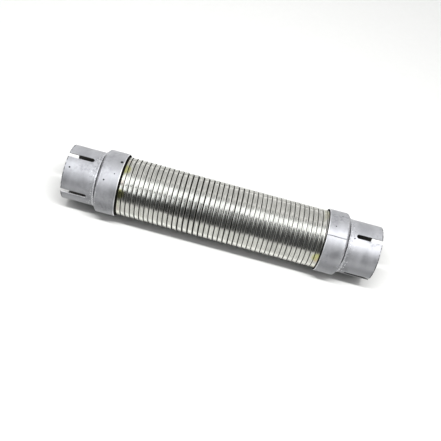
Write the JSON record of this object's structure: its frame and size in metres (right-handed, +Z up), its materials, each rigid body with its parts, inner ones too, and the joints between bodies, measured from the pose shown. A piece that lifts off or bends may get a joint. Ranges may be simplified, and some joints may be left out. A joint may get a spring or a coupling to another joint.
{
  "type": "flexible exhaust pipe",
  "caption": "Flexible pipe of wound steel strip with a collar and a slotted slip-on tube at each end, for an engine's exhaust line.",
  "frame": {"origin": "middle of the pipe's axis, half way between the two mouths", "axes": "+X along the pipe's axis from the inlet mouth to the outlet mouth, +Z up with the pipe lying on its two collars"},
  "size_m": [0.6108, 0.1236, 0.1236],
  "materials": {
    "bright_strip": "bright rolled strip",
    "silver_paint": "silver heat paint, fine orange peel",
    "painted_weld": "painted weld bead",
    "bare_weld": "bare weld bead"
  },
  "bodies": {
    "root": {"interlock_hose": "bright_strip", "inlet_slotted_tube": "silver_paint", "outlet_slotted_tube": "silver_paint", "inlet_collar": "silver_paint", "outlet_collar": "silver_paint", "inlet_neck_weld": "painted_weld", "outlet_neck_weld": "painted_weld", "inlet_hose_weld": "bare_weld", "outlet_hose_weld": "bare_weld"}
  },
  "joints": []
}
